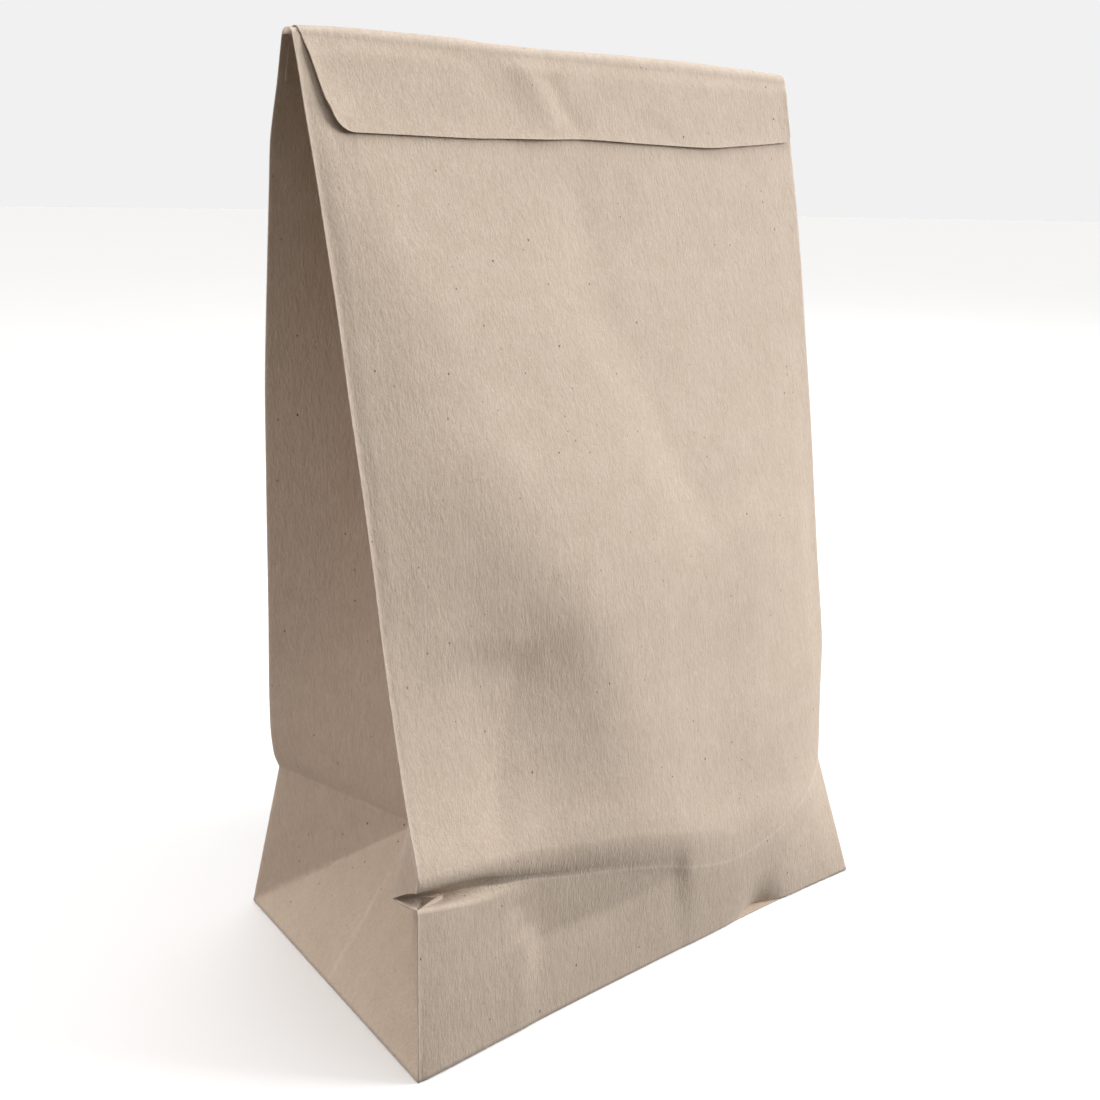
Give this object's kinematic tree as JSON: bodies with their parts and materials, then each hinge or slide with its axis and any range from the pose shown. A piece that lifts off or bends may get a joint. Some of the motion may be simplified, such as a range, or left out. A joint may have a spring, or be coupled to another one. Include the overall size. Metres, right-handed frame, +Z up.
{
  "type": "paper lunch bag",
  "caption": "Closed gusseted bag of plain kraft paper that stands on its folded square bottom, with the top folded over and glued down as a flap; one front corner is creased and pinched.",
  "frame": {"origin": "centre of the bag's bottom, on the surface it stands on", "axes": "+Z up, -Y out of the front panel that the flap is glued to, +X to the right as seen from the front"},
  "size_m": [0.152, 0.091, 0.2323],
  "materials": {
    "brown_kraft_paper": "matte"
  },
  "bodies": {
    "root": {"paper_bag": "brown_kraft_paper"}
  },
  "joints": []
}
